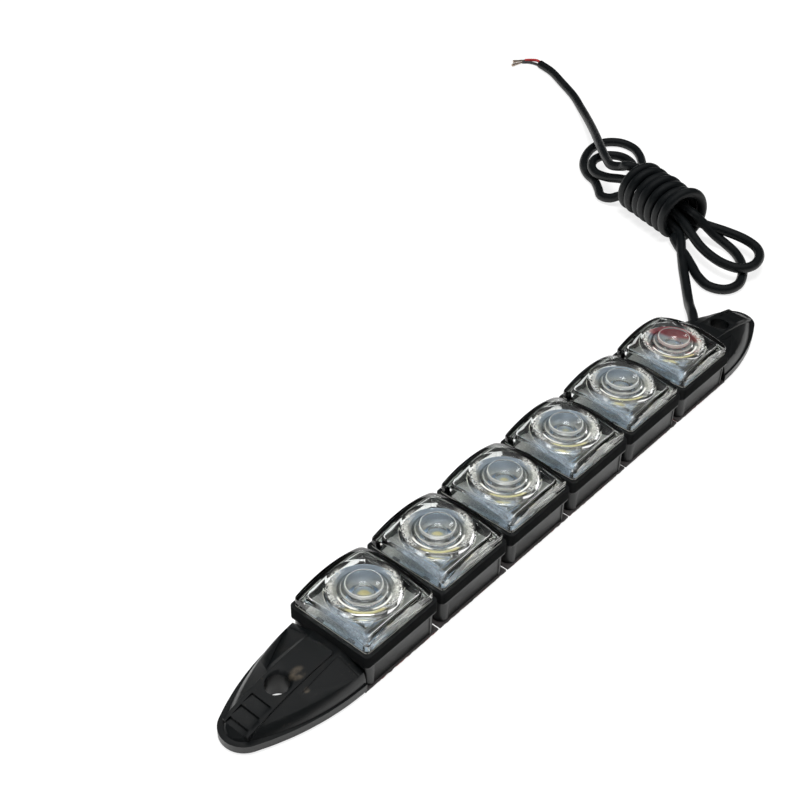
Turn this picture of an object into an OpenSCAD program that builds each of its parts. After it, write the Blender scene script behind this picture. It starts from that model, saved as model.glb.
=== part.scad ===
// Flexible daytime running light: a chain of square lamp modules on a two-wire ribbon,
// with a screw-down end cap at each end and a supply cord wound into a hank.
// +X runs along the strip towards the cord, +Z is the way the lamps shine,
// and the origin is under the middle of the strip, on the face that is stuck to the car.

/* [Strip] */
// Number of lamp modules
module_count = 6; // [2:1:8]
// Free gap between the flanges of two modules
flange_gap = 1.4; // [1.1:0.1:4]
// Thickness of the adhesive foam pad
tape_t = 0.5; // [0.4:0.1:2]
// How far a pad stops short of the middle of the gap
tape_setback = 0.3; // [0.2:0.1:0.6]

/* [Base] */
// Outside width of the base below its flange
base_w = 20.9; // [18.5:0.1:26]
// Height of the base, flange included
base_h = 9; // [8:0.1:12]
// Height of the flange band
flange_h = 3.3; // [1.5:0.1:3.6]
// How far the flange stands out from the walls
flange_out = 0.25; // [0.1:0.05:0.6]
// Wall of the base
wall_t = 1.25; // [1:0.05:1.6]
// Floor of the base
floor_t = 1.2; // [0.8:0.1:1.6]
// Ledge that the board lies on
ledge_w = 1.2; // [0.9:0.1:2]
// Corner radius of the base walls
base_corner_r = 2; // [1:0.1:3]
// Corner radius of the flange
flange_corner_r = 1; // [0.5:0.1:2]
// Width of each snap leg of the lens
leg_w = 2.2; // [1.6:0.1:3.4]
// Depth of the shallow panel in each long wall
panel_depth = 0.2; // [0.1:0.05:0.3]

/* [Ribbon] */
// Width of the flat ribbon between modules
ribbon_w = 8; // [6:0.1:10]
// Thickness of the web of the ribbon
ribbon_t = 0.6; // [0.4:0.1:1]
// Diameter of the wire along each edge of the ribbon
ribbon_wire_d = 1.3; // [1:0.1:1.6]

/* [Board] */
// Thickness of the circuit board
board_t = 1.2; // [0.8:0.1:1.6]
// Side of the square lamp package
led_w = 5; // [3:0.1:6]
// Height of the lamp package
led_h = 0.8; // [0.5:0.1:1]
// Diameter of the phosphor window
phosphor_d = 3.4; // [2:0.1:4]

/* [Lens] */
// Height of the lens over the flange at its middle
lens_h = 5.5; // [5.1:0.1:7]
// Radius of the shallow dome
dome_r = 29; // [26:0.5:60]
// How far the lens stands in from the edge of the flange
lens_step = 0.7; // [0.3:0.1:1.2]
// Side wall of the lens
lens_wall = 1.7; // [1.2:0.1:2]
// Vertical corner radius of the lens
lens_corner_r = 0.9; // [0.5:0.1:1.5]
// Outer diameter of the moat round the button
moat_d = 15.8; // [13:0.1:16]
// Depth of the moat floor below the top of the dome
moat_depth = 1.7; // [1:0.1:1.9]
// Diameter of the button in the middle of the lens
button_d = 7.8; // [5:0.1:8]
// How far the button stands above the dome
button_proud = 0.1; // [0:0.1:0.8]
// Width of the step round the foot of the button
button_step = 0.8; // [0.4:0.1:1]

/* [End caps] */
// Length of an end cap
cap_len = 28; // [26:0.5:36]
// Radius of the rounded tip seen from above
cap_tip_r = 5.4; // [4.5:0.1:7]
// Height of the spine where the cap meets the base
cap_h = 7.1; // [6.6:0.1:7.8]
// Radius of the lengthwise curve of the spine
cap_curve_r = 82; // [75:1:160]
// Width of the raised spine
spine_w = 6.9; // [6:0.1:8]
// How far the spine stands above the shoulders
spine_proud = 0.5; // [0.2:0.1:0.8]
// Thickness of the lip round the foot of the cap
lip_t = 1.8; // [1.2:0.1:2]
// Width of the lip
lip_w = 0.4; // [0.3:0.1:0.8]
// Diameter of the screw hole
screw_d = 5; // [4:0.1:5.5]
// Distance from the base to the screw hole
screw_s = 14; // [12.5:0.1:15]

/* [Cord] */
// Diameter of the round supply cord
cord_d = 2.8; // [2:0.1:3.2]
// Clearance of the cord in its hole, on the radius
cord_clear = 0.1; // [0.05:0.05:0.3]
// Outside diameter of the wraps round the middle of the hank
hank_wrap_d = 15.8; // [13:0.1:17]
// Length of the wraps
hank_wrap_len = 26; // [18:1:30]

/* [Hidden] */
$fn = 48;
eps = 0.01;
fit = 0.1;
board_fit = 0.2;

// Heights, from the stuck-down face up
base_z = tape_t;
floor_z = base_z + floor_t;
flange_z = base_z + base_h - flange_h;
lens_z = base_z + base_h;
spigot_depth = 1.6;
board_z = lens_z - spigot_depth - fit - board_t;
led_z = board_z + board_t;
dome_z = lens_z + lens_h;

// Widths
flange_w = base_w + 2 * flange_out;
pitch = flange_w + flange_gap;
cavity_w = base_w - 2 * wall_t;
well_w = cavity_w - 2 * ledge_w;
lens_w = flange_w - 2 * lens_step;
hollow_w = lens_w - 2 * lens_wall;
spigot_w = cavity_w - 2 * fit;
board_w = cavity_w - 2 * board_fit;

// Slot in each end wall for the ribbon, the cap's tongue and the supply wires
slot_w = ribbon_w + 0.6;
slot_h = 3;
ribbon_z = floor_z + ribbon_wire_d / 2 + 0.25;
ribbon_reach = 1;
ribbon_len = pitch - well_w + 2 * ribbon_reach;

// Snap leg of the lens and the blind pocket for its hook inside the base's long wall
leg_t = 0.9;
leg_y = spigot_w / 2 - leg_t;
hook_out = 0.5;
hook_h = 1.2;
pocket_h = hook_h + 0.6;
pocket_z = floor_z + 0.5;
leg_gap = 0.3;

// Notch in the board's edge for the supply wires, and the two chip resistors
notch_x = 6.1;
notch_w = 4.8;
chip = [0.9, 1.6, 0.5];
chip_inset = 1.2;
chip_y = 4.2;
phosphor_t = 0.15;

// Collimator over the lamp
roof_z = dome_z - moat_depth - 1.4;
throat_z = led_z + led_h + 0.4;
throat_r = led_w / 2 + 0.7;
well_r = phosphor_d / 2 + 0.6;

// End cap plan: two side arcs that run into a round tip
cap_half_w = flange_w / 2;
cap_x = (module_count - 1) / 2 * pitch + flange_w / 2;
tip_s = cap_len - cap_tip_r;
cap_taper = cap_half_w - cap_tip_r;
side_off = (tip_s * tip_s - cap_taper * cap_taper) / (2 * cap_taper);
side_r = side_off + cap_half_w;
flank_z = base_z + lip_t + 0.3;
flank_r = 5.5;
flank_fall = 8.5;
shoulder_fall = 18;
spine_s = 1.4;
spine_corner_r = 1.2;
facet_plan = [[1.4, 4.2], [1.4, 10.2], [12.2, 5.1]];
facet_depth = 0.15;
screw_chamfer = 0.3;
step_gap = 1.7;
step_s = screw_s + screw_d / 2 + step_gap;
step_count = 3;
tread = 2.9;
nose_w = spine_w - 1.8;
tongue_h = 1.2;
tongue_len = wall_t + 1.6;
chamber = [5.5, 8, 2.6];

// Cord hole in the far cap: from the wire chamber out through one flank
cord_angle = 36;
cord_z = 4;
cord_from = [4, 0.5, cord_z];
supply_wire_d = 1.2;
red_run = [[0, 0.9, 0.35], [0, 2.4, 0.15], [-0.3, 4.2, 0], [-1.4, 5.3, 0], [-3.4, 5.6, 0]];
black_run = [[0, 0.9, 0.35], [0, 2, 0.25], [0, 3.6, 0]];

// Cord route, in millimetres from the middle of the far cap's inner face
lead_route = [
    [4, 0.5, 4], [8.5, 3.8, 4], [13, 7, 4], [16, 9.2, 3.8], [19, 11.4, 2.9], [22, 13.6, 1.9],
    [26, 16.5, 1.4], [32, 21, 1.4], [38, 25.5, 1.4], [44, 29.8, 1.4], [49.2, 33.6, 1.4]];
tail_route = [
    [59.5, 58.5, 8], [61.5, 61, 7.9], [63.5, 64.5, 7.6], [66, 69.5, 7.4], [70.5, 74.5, 7.3],
    [75, 79, 7.2], [80, 84, 6.4], [83.5, 87.5, 5], [87, 91, 3.2], [91, 95, 1.9],
    [99, 103, 1.4], [107, 113, 1.4], [113, 122.5, 1.4], [117.5, 130, 1.4], [120, 137, 1.4]];
lead_wire_d = 1.2;
red_route = [[120, 137, 2], [121.3, 139.5, 1.6], [121.4, 142, 1], [120.3, 144.2, 0.6]];
black_route = [[120, 137, 0.6], [120.4, 139.5, 0.6], [119.8, 142, 0.6], [118.2, 143.8, 0.6]];
tip_d = 0.8;
tip_len = 4.5;
red_tip_turn = 148;
black_tip_turn = 165;

// Hank: its own plan frame, with u along the wraps away from the strip
hank_at = [51.68, 33.1];
hank_turn = 72;
loop_h = 2 * cord_d;

MODULES = [1 : module_count];
LINKS = [1 : module_count - 1];

function module_x(k) = (k - (module_count + 1) / 2) * pitch;

// A square plate with round corners, standing on z
module rounded_block(w, r, z, h) {
    translate([0, 0, z]) linear_extrude(h) {
        square([w - 2 * r, w], center = true);
        square([w, w - 2 * r], center = true);
        for (x = [-1, 1], y = [-1, 1])
            translate([x * (w / 2 - r), y * (w / 2 - r)]) circle(r = r);
    }
}

module centred_box(size, z) {
    translate([-size[0] / 2, -size[1] / 2, z]) cube(size);
}

// Shallow panel in a long wall, from one round corner to the other
module wall_panel() {
    panel_l = base_w - 2 * base_corner_r;
    translate([-panel_l / 2, base_w / 2 - panel_depth, base_z - 1])
        cube([panel_l, panel_depth + 1, base_h - flange_h + 0.6]);
}

module base_body() {
    difference() {
        union() {
            rounded_block(base_w, base_corner_r, base_z, base_h);
            rounded_block(flange_w, flange_corner_r, flange_z, flange_h);
        }
        rounded_block(cavity_w, 1, board_z, base_h);
        rounded_block(well_w, 1, floor_z, base_h);
        centred_box([base_w + 2, slot_w, slot_h], floor_z);
        // channel for the snap leg, then the pocket for its hook
        for (side = [0, 180]) rotate(side) {
            translate([-leg_w / 2 - leg_gap, 0, pocket_z])
                cube([leg_w + 2 * leg_gap, cavity_w / 2, base_h]);
            translate([-leg_w / 2 - leg_gap, 0, pocket_z])
                cube([leg_w + 2 * leg_gap, spigot_w / 2 + hook_out + fit, pocket_h]);
            wall_panel();
        }
    }
}

module base(k) {
    color("dimgray") translate([module_x(k), 0, 0]) base_body();
}

// Moat round the button: a cone down from the dome, a flat floor and a step up to the button
module moat() {
    floor_top = dome_z - moat_depth;
    button_r = button_d / 2;
    step_r = button_r + button_step;
    foot_r = max(moat_d / 2 - 2, step_r + 0.8);
    rotate_extrude() polygon([
        [moat_d / 2 + 1, dome_z + 1], [moat_d / 2, dome_z - 1.05], [foot_r, floor_top],
        [step_r + 0.6, floor_top], [step_r + 0.15, floor_top + 0.3], [step_r, floor_top + 0.65],
        [button_r + 0.2, floor_top + 0.75], [button_r, floor_top + 1], [button_r, dome_z + 1]]);
}

// Button: a short post whose face is slightly dished
module button() {
    top = dome_z + button_proud;
    rotate_extrude() polygon([
        [0, roof_z], [button_d / 2, roof_z], [button_d / 2, top - 0.3], [button_d / 2 - 0.3, top],
        [button_d / 4, top - 0.2], [0, top - 0.3]]);
}

// Funnel that gathers the lamp's light, with a well over the phosphor
module collimator() {
    rotate_extrude() polygon([
        [0, roof_z + eps], [moat_d / 2 - eps, roof_z + eps], [moat_d / 2 - eps, roof_z - 0.2],
        [throat_r + 2.2, (roof_z + throat_z) / 2], [throat_r, throat_z], [well_r, throat_z],
        [well_r, roof_z - 0.8], [well_r / 2, roof_z - 1.1], [0, roof_z - 1.2]]);
}

// One of the two snap legs: it hangs beside the board and hooks into the base's pocket
module snap_leg() {
    foot_z = pocket_z + 0.3;
    translate([-leg_w / 2, leg_y, foot_z]) cube([leg_w, leg_t, lens_z - foot_z]);
    translate([-leg_w / 2, leg_y + leg_t, foot_z]) rotate([90, 0, 90]) linear_extrude(leg_w)
        polygon([[-eps, 0], [hook_out / 2, 0], [hook_out, hook_h], [-eps, hook_h]]);
}

module lens_body() {
    difference() {
        intersection() {
            rounded_block(lens_w, lens_corner_r, lens_z, lens_h);
            translate([0, 0, dome_z - dome_r]) sphere(r = dome_r, $fn = 96);
        }
        rounded_block(hollow_w, 1.5, lens_z - eps, roof_z - lens_z + eps);
        moat();
    }
    difference() {
        rounded_block(spigot_w, 1, lens_z - spigot_depth, spigot_depth + eps);
        rounded_block(hollow_w, 1, lens_z - spigot_depth - 1, spigot_depth + 2);
    }
    button();
    collimator();
    snap_leg();
    rotate(180) snap_leg();
}

module lens(k) {
    color("lightcyan") translate([module_x(k), 0, 0]) lens_body();
}

// Circuit board with notches for the snap legs and the supply wires, and two chip resistors
module board(k) {
    color("aliceblue") translate([module_x(k), 0, 0]) {
        difference() {
            rounded_block(board_w, 0.8, board_z, board_t);
            for (side = [0, 180]) rotate(side)
                translate([-leg_w / 2 - leg_gap, leg_y - fit, board_z - 1])
                    cube([leg_w + 2 * leg_gap, cavity_w, board_t + 2]);
            translate([notch_x, -notch_w / 2, board_z - 1]) cube([board_w, notch_w, board_t + 2]);
        }
        for (side = [-1, 1])
            translate([-board_w / 2 + chip_inset, side * chip_y - chip[1] / 2, led_z - eps])
                cube(chip);
    }
}

module led(k) {
    color("ivory") translate([module_x(k), 0, 0]) {
        centred_box([led_w, led_w, led_h], led_z);
        translate([0, 0, led_z + led_h - eps]) cylinder(d = phosphor_d, h = phosphor_t);
    }
}

module tape(k) {
    pad_l = pitch - 2 * tape_setback;
    pad_w = base_w - 0.3;
    color("maroon") translate([module_x(k) - pad_l / 2, -pad_w / 2, 0]) cube([pad_l, pad_w, tape_t]);
}

// Flat ribbon with a wire along each edge
module link(k) {
    wire_y = (ribbon_w - ribbon_wire_d) / 2;
    color("gainsboro") translate([module_x(k) + pitch / 2, 0, ribbon_z]) {
        cube([ribbon_len, 2 * wire_y, ribbon_t], center = true);
        for (side = [-1, 1])
            translate([0, side * wire_y, 0]) rotate([0, 90, 0])
                cylinder(d = ribbon_wire_d, h = ribbon_len, center = true);
    }
}

// Plan of an end cap from s = 0 at the base to the tip, set in from its lip
module cap_plan(inset) {
    tangent_s = tip_s + (cap_tip_r - inset) * tip_s / (side_r - cap_tip_r);
    intersection() {
        union() {
            intersection() {
                translate([0, side_off]) circle(r = side_r - inset, $fn = 180);
                translate([0, -side_off]) circle(r = side_r - inset, $fn = 180);
                translate([0, -cap_half_w]) square([tangent_s, 2 * cap_half_w]);
            }
            translate([tip_s, 0]) circle(r = cap_tip_r - inset);
        }
        translate([0, -cap_half_w]) square([cap_len, 2 * cap_half_w]);
    }
}

// Flank of the cap turned about an upright axis: upright at the lip, then rounding inwards
module turned_flank(at, r_out) {
    wall_r = r_out - lip_w;
    translate([at[0], at[1], 0]) rotate_extrude($fn = 180) intersection() {
        union() {
            translate([wall_r - flank_r, flank_z]) circle(r = flank_r);
            translate([0, flank_z]) square([max(eps, wall_r - flank_r), 2 * cap_h]);
            translate([0, -cap_h]) square([wall_r, flank_z + cap_h]);
        }
        translate([0, -cap_h]) square([r_out, 4 * cap_h]);
    }
}

// Lengthwise curve: everything under a big cylinder that lies across the cap
module under_curve(top, tilt) {
    translate([0, 0, base_z + top]) rotate([tilt, 0, 0]) translate([0, 0, -cap_curve_r])
        rotate([90, 0, 0]) cylinder(r = cap_curve_r, h = 4 * cap_half_w, center = true, $fn = 180);
}

// Both flanks and the round tip, tilted together so that they fall towards the tip
module flanks() {
    reach = 2 * cap_len;
    seam = reach * tip_s / side_off;
    intersection() {
        rotate([0, flank_fall, 0]) {
            intersection() {
                turned_flank([0, side_off], side_r);
                turned_flank([0, -side_off], side_r);
                translate([0, 0, -cap_h]) linear_extrude(4 * cap_h) polygon([[-cap_h, -reach],
                    [tip_s + seam, -reach], [tip_s, 0], [tip_s + seam, reach], [-cap_h, reach]]);
            }
            intersection() {
                turned_flank([tip_s, 0], cap_tip_r);
                translate([0, 0, -cap_h]) linear_extrude(4 * cap_h)
                    polygon([[tip_s, 0], [tip_s + seam, -reach], [tip_s + seam, reach]]);
            }
        }
        translate([0, -cap_half_w, base_z]) cube([cap_len, 2 * cap_half_w, 2 * cap_h]);
    }
}

// A shoulder on each side of the spine, falling outwards from it
module shoulders() {
    intersection() {
        flanks();
        translate([0, spine_w / 2, 0]) under_curve(cap_h - spine_proud, -shoulder_fall);
        translate([0, -spine_w / 2, 0]) under_curve(cap_h - spine_proud, shoulder_fall);
        under_curve(cap_h - spine_proud, 0);
    }
}

module spine() {
    intersection() {
        under_curve(cap_h, 0);
        translate([0, 0, base_z]) linear_extrude(2 * cap_h) intersection() {
            cap_plan(lip_w);
            union() {
                translate([spine_s + spine_corner_r, -spine_w / 2]) square([tip_s, spine_w]);
                translate([spine_s, spine_corner_r - spine_w / 2])
                    square([tip_s, spine_w - 2 * spine_corner_r]);
                for (side = [-1, 1])
                    translate([spine_s + spine_corner_r, side * (spine_w / 2 - spine_corner_r)])
                        circle(r = spine_corner_r);
            }
        }
    }
}

// Shallow flat triangle let into a shoulder beside the spine
module facet_cut() {
    span = [facet_plan[0][0], facet_plan[2][0]];
    translate([0, spine_w / 2, base_z + cap_h - spine_proud]) rotate([-shoulder_fall, 0, 0])
        translate([0, 0, span[0] * span[1] / (2 * cap_curve_r) - facet_depth])
            rotate([0, asin((span[0] + span[1]) / (2 * cap_curve_r)), 0]) linear_extrude(cap_h)
                polygon([for (p = facet_plan) [p[0], p[1] - spine_w / 2]]);
}

// Plain steps down from the screw hole to the tip, each as low as the spine at its own end
module nose_steps() {
    for (i = [0 : step_count - 1]) {
        start = step_s + i * tread;
        low = pow(start + tread, 2) / (2 * cap_curve_r);
        translate([start, -nose_w / 2, base_z + cap_h - low]) cube([cap_len, nose_w, cap_h]);
    }
}

module cap_body(facet_sides) {
    hole_top = base_z + cap_h - pow(screw_s, 2) / (2 * cap_curve_r);
    difference() {
        union() {
            translate([0, 0, base_z]) linear_extrude(lip_t) cap_plan(0);
            difference() {
                shoulders();
                for (side = facet_sides) scale([1, side, 1]) facet_cut();
            }
            spine();
            // tongue that holds the cap in the base's end slot
            translate([-tongue_len - flange_out, -slot_w / 2 + fit, floor_z + fit])
                cube([tongue_len + flange_out + eps, slot_w - 2 * fit, tongue_h]);
        }
        translate([screw_s, 0, base_z - 1]) cylinder(d = screw_d, h = cap_h + 2);
        translate([screw_s, 0, hole_top - screw_chamfer])
            cylinder(r1 = screw_d / 2 - eps, r2 = screw_d / 2 + 1, h = 1 + eps);
        nose_steps();
    }
}

module near_end_cap() {
    color("dimgray") translate([-cap_x, 0, 0]) rotate(180) cap_body([-1, 1]);
}

module cord_bore() {
    translate(cord_from) rotate([0, 90, cord_angle])
        cylinder(d = cord_d + 2 * cord_clear, h = cap_len);
}

module far_end_cap() {
    color("dimgray") translate([cap_x, 0, 0]) difference() {
        cap_body([-1]);
        translate([-1, -3, floor_z + tongue_h + fit]) cube(chamber + [1, 0, 0]);
        cord_bore();
    }
}

// Tube swept along a route with an eight-sided section, one ring at each point
function unit(v) = v / norm(v);
function heading(route, i) =
    unit(route[min(i + 1, len(route) - 1)] - route[max(i - 1, 0)]);
function ring(route, i, r) =
    let (t = heading(route, i), side = unit(cross(t, [0, 0, 1])), up = cross(side, t))
    [for (a = [0 : 45 : 315]) route[i] + r * (cos(a) * side + sin(a) * up)];

module swept_tube(route, d) {
    sides = 8;
    last = len(route) - 1;
    points = [for (i = [0 : last]) each ring(route, i, d / 2)];
    walls = [for (i = [0 : last - 1], j = [0 : sides - 1])
        [i * sides + j, i * sides + (j + 1) % sides,
         (i + 1) * sides + (j + 1) % sides, (i + 1) * sides + j]];
    start_face = [for (j = [sides - 1 : -1 : 0]) j];
    end_face = [for (j = [0 : sides - 1]) last * sides + j];
    polyhedron(points, concat([start_face, end_face], walls), convexity = 6);
}

// From the end of the cord's jacket, through the slot and the board's notch, along the board
module supply_wire(side, run) {
    low_z = floor_z + tongue_h + supply_wire_d / 2 + 0.3;
    pad_z = led_z + supply_wire_d / 2 + 0.1;
    rise_s = -flange_out - wall_t - ledge_w - 1;
    rise_y = notch_w / 2 - supply_wire_d / 2 - 0.2;
    translate([cap_x, 0, 0]) swept_tube(concat([
        [cord_from[0] - 0.8, side * 0.75, low_z + 0.2], [2, side * 1.2, low_z],
        [rise_s + 1, side * rise_y, low_z], [rise_s + 0.25, side * rise_y, low_z + 0.5],
        [rise_s, side * rise_y, low_z + 1.6], [rise_s - 0.05, side * rise_y, led_z - 0.2],
        [rise_s - 0.05, side * (rise_y + 0.12), led_z + 0.5]],
        [for (p = run) [rise_s + p[0], side * (rise_y + p[1]), pad_z + p[2]]]), supply_wire_d);
}

module cord_lead() {
    color("black") translate([cap_x, 0, 0]) swept_tube(lead_route, cord_d);
}

module cord_tail() {
    color("black") translate([cap_x, 0, 0]) swept_tube(tail_route, cord_d);
}

module in_hank() {
    translate([cap_x + hank_at[0], hank_at[1], 0]) rotate(hank_turn) children();
}

// Loops at the end of the hank that faces the strip
module cord_loops_near() {
    color("black") in_hank() intersection() {
        linear_extrude(loop_h) hull() {
            translate([-21.5, 4]) circle(r = 6.3, $fn = 32);
            translate([-14.5, -4.5]) circle(r = 8.8, $fn = 32);
            translate([0, -5.5]) circle(r = 2.5, $fn = 32);
        }
        translate([-cap_len - 10, -20, 0]) cube([cap_len + 10, 40, loop_h]);
    }
}

module cord_wraps() {
    color("black") in_hank() translate([0, 0, hank_wrap_d / 2]) rotate([0, 90, 0])
        cylinder(d = hank_wrap_d, h = hank_wrap_len);
}

// Loops at the far end: a wide ring on the table and a smaller one on top of it
module cord_loops_far() {
    color("black") in_hank() translate([hank_wrap_len, 0, 0]) intersection() {
        union() {
            linear_extrude(cord_d) hull() {
                translate([23, -12]) circle(r = 11.8, $fn = 32);
                translate([0, -2]) circle(r = 4, $fn = 32);
            }
            translate([0, 0, cord_d - eps]) linear_extrude(cord_d + eps) hull() {
                translate([17, -5.5]) circle(r = 7.6, $fn = 32);
                translate([0, -2]) circle(r = 4, $fn = 32);
            }
        }
        translate([0, -30, 0]) cube([50, 60, loop_h]);
    }
}

module lead_wire(route) {
    translate([cap_x, 0, 0]) swept_tube(route, lead_wire_d);
}

// Bare tinned strands at the end of a lead
module bare_tip(route, turn) {
    translate([cap_x, 0, 0]) translate(route[len(route) - 1]) rotate([0, 90, turn])
        cylinder(d = tip_d, h = tip_len, $fn = 24);
}

for (k = MODULES) {
    base(k);
    lens(k);
    board(k);
    led(k);
    tape(k);
}
for (k = LINKS) {
    link(k);
}
near_end_cap();
far_end_cap();
color("red") supply_wire(1, red_run);  // supply_wire_red
color("black") supply_wire(-1, black_run);  // supply_wire_black
cord_lead();
cord_loops_near();
cord_wraps();
cord_loops_far();
cord_tail();
color("red") lead_wire(red_route);  // lead_red
color("black") lead_wire(black_route);  // lead_black
color("silver") bare_tip(red_route, red_tip_turn);  // tip_red
color("silver") bare_tip(black_route, black_tip_turn);  // tip_black
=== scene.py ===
import math

import bmesh
import bpy
from bpy.props import FloatProperty, FloatVectorProperty, PointerProperty
from mathutils import Matrix, Vector, noise


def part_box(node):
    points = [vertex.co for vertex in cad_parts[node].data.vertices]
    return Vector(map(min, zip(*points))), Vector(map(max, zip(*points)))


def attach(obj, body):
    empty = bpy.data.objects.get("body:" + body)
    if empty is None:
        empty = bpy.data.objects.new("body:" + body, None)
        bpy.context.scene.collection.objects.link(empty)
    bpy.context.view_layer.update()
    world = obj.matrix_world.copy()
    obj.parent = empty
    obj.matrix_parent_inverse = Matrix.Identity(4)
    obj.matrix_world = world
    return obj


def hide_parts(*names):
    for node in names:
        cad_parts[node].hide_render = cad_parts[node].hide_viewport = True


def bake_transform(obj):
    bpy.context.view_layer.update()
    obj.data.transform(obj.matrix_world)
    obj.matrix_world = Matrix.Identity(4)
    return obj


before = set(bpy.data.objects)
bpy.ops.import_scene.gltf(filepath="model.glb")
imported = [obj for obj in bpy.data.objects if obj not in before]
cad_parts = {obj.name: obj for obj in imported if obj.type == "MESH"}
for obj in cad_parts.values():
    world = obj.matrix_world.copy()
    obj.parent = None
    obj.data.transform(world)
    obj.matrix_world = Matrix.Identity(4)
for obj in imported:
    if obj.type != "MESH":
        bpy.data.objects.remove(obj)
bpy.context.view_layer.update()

bl_info = {
    "name": "Daytime running light dresser",
    "version": (1, 0, 0),
    "blender": (4, 5, 0),
    "location": "View3D > Sidebar > Running light",
    "description": "Dresses a flexible daytime running light: clear lenses, black housings and its cord",
    "category": "Object",
}

MM = 0.001


def box_centre(node):
    low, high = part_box(node)
    return (low + high) / 2


# Places read from the frame
MODULES = sorted(int(node.split("_")[1]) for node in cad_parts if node.startswith("lens_"))
MODULE_X = {k: box_centre(f"lens_{k}").x for k in MODULES}
PITCH = MODULE_X[2] - MODULE_X[1]
LAST = MODULES[-1]
CAP_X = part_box(f"base_{LAST}")[1].x
BASE_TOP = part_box("base_1")[1].z
LENS_LOW, LENS_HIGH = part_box("lens_1")
LENS_HALF = (LENS_HIGH.x - LENS_LOW.x) / 2
BOARD_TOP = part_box("board_1")[1].z
LED_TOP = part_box("led_1")[1].z


# Sizes and colours that a user would change


def length(name, text, default):
    return FloatProperty(name=name, description=text, default=default, unit="LENGTH", precision=5)


def colour(name, text, default):
    return FloatVectorProperty(name=name, description=text, default=default, subtype="COLOR",
                               size=3, min=0, max=1)


def share(name, text, default):
    return FloatProperty(name=name, description=text, default=default, subtype="FACTOR", min=0, max=1)


def number(name, text, default):
    return FloatProperty(name=name, description=text, default=default)


def tilt(name, text, degrees):
    return FloatProperty(name=name, description=text, default=math.radians(degrees), subtype="ANGLE")


class StageSettings(bpy.types.PropertyGroup):
    azimuth: tilt("Azimuth", "Turn of the camera round the lamp", -49.49)
    elevation: tilt("Elevation", "Height of the camera over the horizon", 38.186)
    roll: tilt("Roll", "Turn of the camera about its own axis", 1.1955)
    distance: length("Distance", "From the camera to the point that it looks at", 330.2 * MM)
    target: FloatVectorProperty(name="Target", description="Point that the camera looks at",
                                default=(-0.31 * MM, 40.03 * MM, 7 * MM), subtype="XYZ", unit="LENGTH")
    lens: number("Focal length", "Camera lens in millimetres", 61.45)
    floor: colour("Floor", "Colour of the table", (0.88, 0.88, 0.87))
    sky: number("Overhead light", "Strength of the soft light from above", 1.3)
    room: number("Room", "Strength of the dim light from the room's walls", 0.08)
    key: number("Key light", "Power of the large lamp, in watts", 5.6)
    side_lamp: number("Side light", "Power of the lamp at the side, in watts", 1.6)


class HousingSettings(bpy.types.PropertyGroup):
    plastic: colour("Plastic", "Black moulded plastic", (0.003, 0.0038, 0.0042))
    gloss: share("Roughness", "Roughness of the moulded faces", 0.33)
    flange: length("Flange", "Height of the dark band, whose face leans back", 2.95 * MM)
    lean: number("Lean", "Slope of the face of the dark band", 0.85)
    edge: length("Edge radius", "Rounding of the moulded edges", 0.14 * MM)
    dust: colour("Dust", "Dust in the rubbed places", (0.30, 0.24, 0.17))


class LensSettings(bpy.types.PropertyGroup):
    tint: colour("Tint", "Colour of the clear plastic", (0.965, 0.98, 0.975))
    index: number("Index", "Refractive index of the clear plastic", 1.49)
    dome: length("Dome radius", "Radius of the shallow dome", 29 * MM)
    corner: length("Corner radius", "Radius of the upright corners", 0.9 * MM)
    wall: length("Wall", "Side wall of the lens", 1.7 * MM)
    moat: length("Moat radius", "Outer radius of the moat", 7.9 * MM)
    moat_depth: length("Moat depth", "Floor of the moat below the dome's top", 1.7 * MM)
    button: length("Button radius", "Radius of the raised button", 3.9 * MM)
    button_proud: length("Button height", "How far the button stands above the dome", 0.1 * MM)
    frost: colour("Frost", "Matt skin of the funnel that gathers the light", (0.42, 0.43, 0.41))
    edge: length("Edge radius", "Rounding of the outer edges", 0.22 * MM)


class BoardSettings(bpy.types.PropertyGroup):
    # The board's blues are painted reflections: the front edge is painted light, the front corner painted
    # shade
    mask: colour("Board", "Pale blue face of the circuit board", (0.47, 0.66, 0.90))
    rim: colour("Front edge", "Paler blue along the edge under the lens wall", (0.80, 0.94, 1.0))
    shade: colour("Front corner", "Greyer blue at the corner in front", (0.40, 0.52, 0.64))
    plate: colour("Plating", "Grey plated part of the circuit board", (0.42, 0.43, 0.41))
    chip: colour("Chips", "Small dark parts on the circuit board", (0.11, 0.12, 0.13))
    package: colour("Package", "Pale body of the light source", (0.36, 0.44, 0.52))
    phosphor: colour("Phosphor", "Yellow window of the light source", (0.82, 0.74, 0.34))


class TapeSettings(bpy.types.PropertyGroup):
    foam: colour("Foam", "Dark foam of the adhesive pad", (0.055, 0.05, 0.05))
    liner: colour("Liner", "Red liner on the adhesive", (0.34, 0.07, 0.07))
    reach: length("Reach", "How far the pad's cut edge stands out of the moulding's wall", 0.3 * MM)
    fray: length("Fray", "How far the torn edge wanders", 0.16 * MM)


class CordSettings(bpy.types.PropertyGroup):
    jacket: colour("Jacket", "Black jacket of the cord", (0.0032, 0.0042, 0.0048))
    diameter: length("Diameter", "Diameter of the cord", 2.8 * MM)
    real_length: length("Length", "Real length of the cord", 840 * MM)
    turns: number("Turns", "Wraps round the middle of the hank", 7.4)
    wrap_radius: length("Wrap radius", "Radius of the wraps, at the middle of the cord", 6.5 * MM)
    red: colour("Red", "Red insulation", (0.36, 0.012, 0.014))
    strand: colour("Strand", "Tinned copper strands", (0.62, 0.55, 0.48))


class RibbonSettings(bpy.types.PropertyGroup):
    plastic: colour("Ribbon", "Clear grey ribbon between the modules", (0.42, 0.44, 0.44))
    width: length("Width", "Width of the ribbon", 8 * MM)
    web: length("Web", "Thickness of the flat web", 0.6 * MM)
    wire: length("Wire", "Diameter of the wire along each edge", 1.3 * MM)


# Shader maths


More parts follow.
